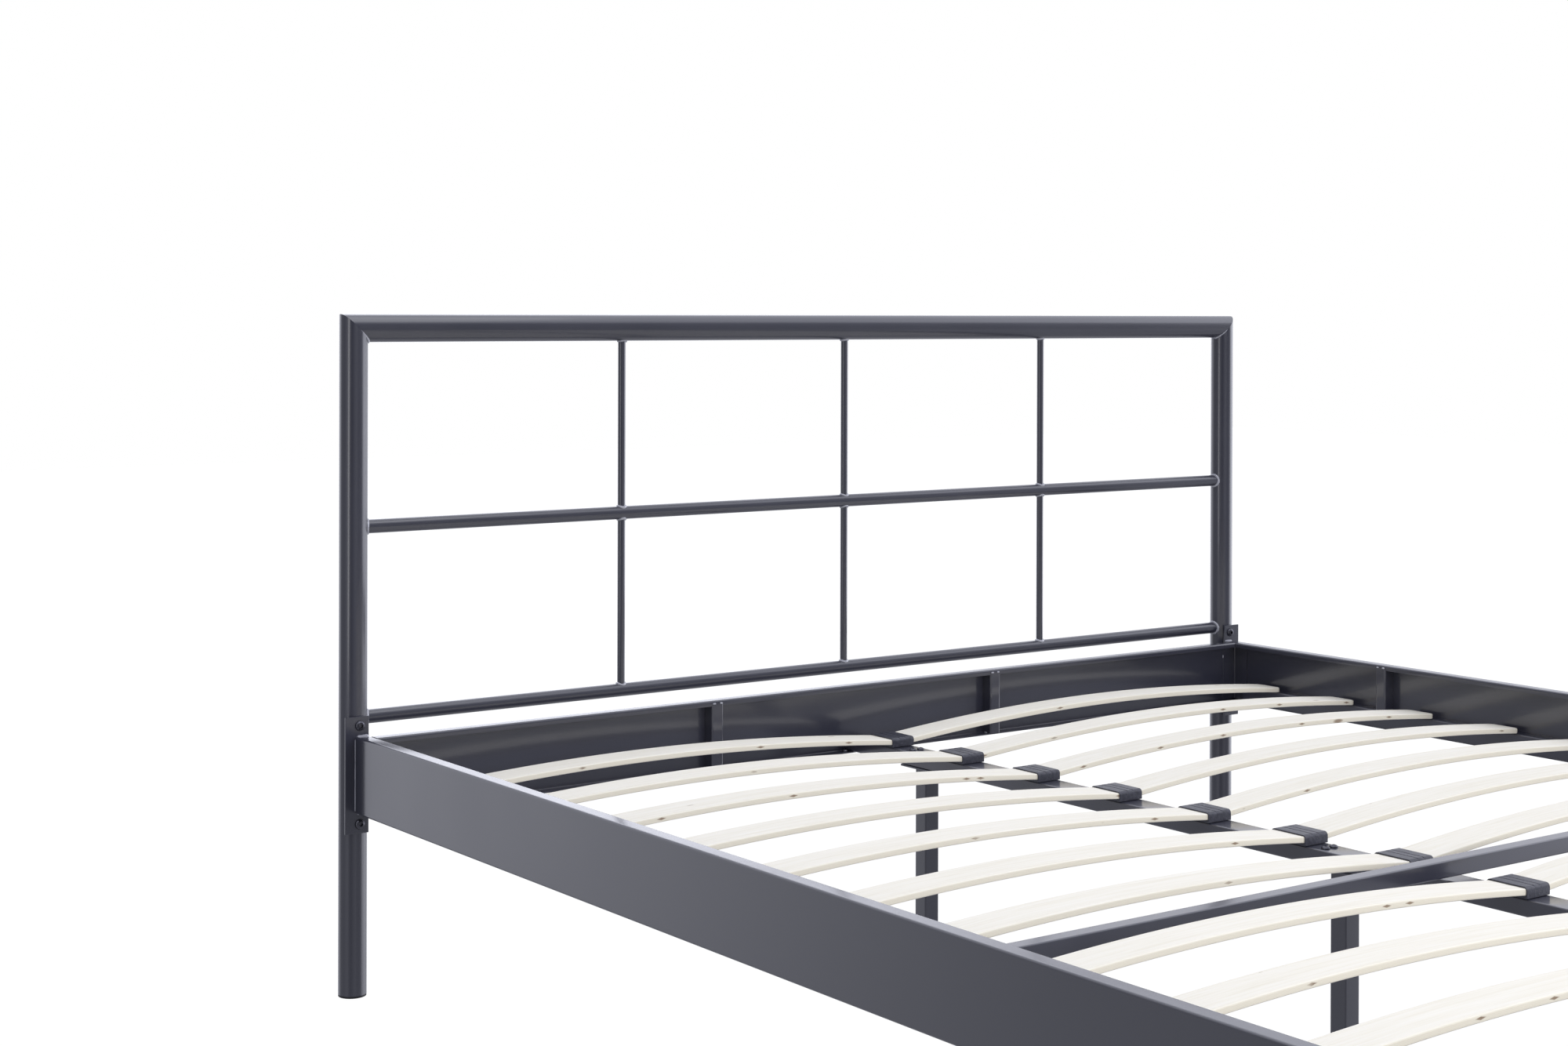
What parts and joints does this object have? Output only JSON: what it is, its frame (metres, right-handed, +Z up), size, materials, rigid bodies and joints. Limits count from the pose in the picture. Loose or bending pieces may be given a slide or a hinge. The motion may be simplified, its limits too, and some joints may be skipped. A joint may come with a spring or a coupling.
{
  "type": "bed frame",
  "caption": "Metal double bed frame with a tube headboard, channel side rails, sprung wooden slats in plastic caps on a centre beam, and centre legs.",
  "frame": {"origin": "middle of the floor area that the bed covers", "axes": "+X across the bed, to the right for someone who stands at the foot and looks at the headboard; +Y along the bed to the headboard; +Z up"},
  "size_m": [1.682, 2.108, 0.918],
  "materials": {
    "slate_powder_coat": "satin powder coat, dark slate grey",
    "black_zinc": "black zinc plate",
    "birch_ply": "pale laminated birch, lightly lacquered",
    "charcoal_plastic": "moulded charcoal plastic"
  },
  "bodies": {
    "root": {"headboard_post_left": "slate_powder_coat", "headboard_post_right": "slate_powder_coat", "headboard_top_rail": "slate_powder_coat", "headboard_middle_rail": "slate_powder_coat", "headboard_bottom_rail": "slate_powder_coat", "headboard_bar_1": "slate_powder_coat", "headboard_bar_2": "slate_powder_coat", "headboard_bar_3": "slate_powder_coat", "side_rail_left": "slate_powder_coat", "side_rail_right": "slate_powder_coat", "head_rail": "slate_powder_coat", "foot_rail": "slate_powder_coat", "headboard_bolt_left_lower": "black_zinc", "headboard_bolt_left_upper": "black_zinc", "headboard_bolt_right_lower": "black_zinc", "headboard_bolt_right_upper": "black_zinc", "foot_leg_left": "slate_powder_coat", "foot_leg_right": "slate_powder_coat", "centre_beam": "slate_powder_coat", "cross_bar": "slate_powder_coat", "centre_leg_head": "slate_powder_coat", "centre_leg_middle": "slate_powder_coat", "centre_leg_foot": "slate_powder_coat", "slat_left_01": "birch_ply", "slat_right_01": "birch_ply", "slat_left_02": "birch_ply", "slat_right_02": "birch_ply", "slat_left_03": "birch_ply", "slat_right_03": "birch_ply", "slat_left_04": "birch_ply", "slat_right_04": "birch_ply", "slat_left_05": "birch_ply", "slat_right_05": "birch_ply", "slat_left_06": "birch_ply", "slat_right_06": "birch_ply", "slat_left_07": "birch_ply", "slat_right_07": "birch_ply", "slat_left_08": "birch_ply", "slat_right_08": "birch_ply", "slat_left_09": "birch_ply", "slat_right_09": "birch_ply", "slat_left_10": "birch_ply", "slat_right_10": "birch_ply", "slat_left_11": "birch_ply", "slat_right_11": "birch_ply", "slat_left_12": "birch_ply", "slat_right_12": "birch_ply", "slat_cap_01": "charcoal_plastic", "slat_cap_02": "charcoal_plastic", "slat_cap_03": "charcoal_plastic", "slat_cap_04": "charcoal_plastic", "slat_cap_05": "charcoal_plastic", "slat_cap_06": "charcoal_plastic", "slat_cap_07": "charcoal_plastic", "slat_cap_08": "charcoal_plastic", "slat_cap_09": "charcoal_plastic", "slat_cap_10": "charcoal_plastic", "slat_cap_11": "charcoal_plastic", "slat_cap_12": "charcoal_plastic"}
  },
  "joints": []
}
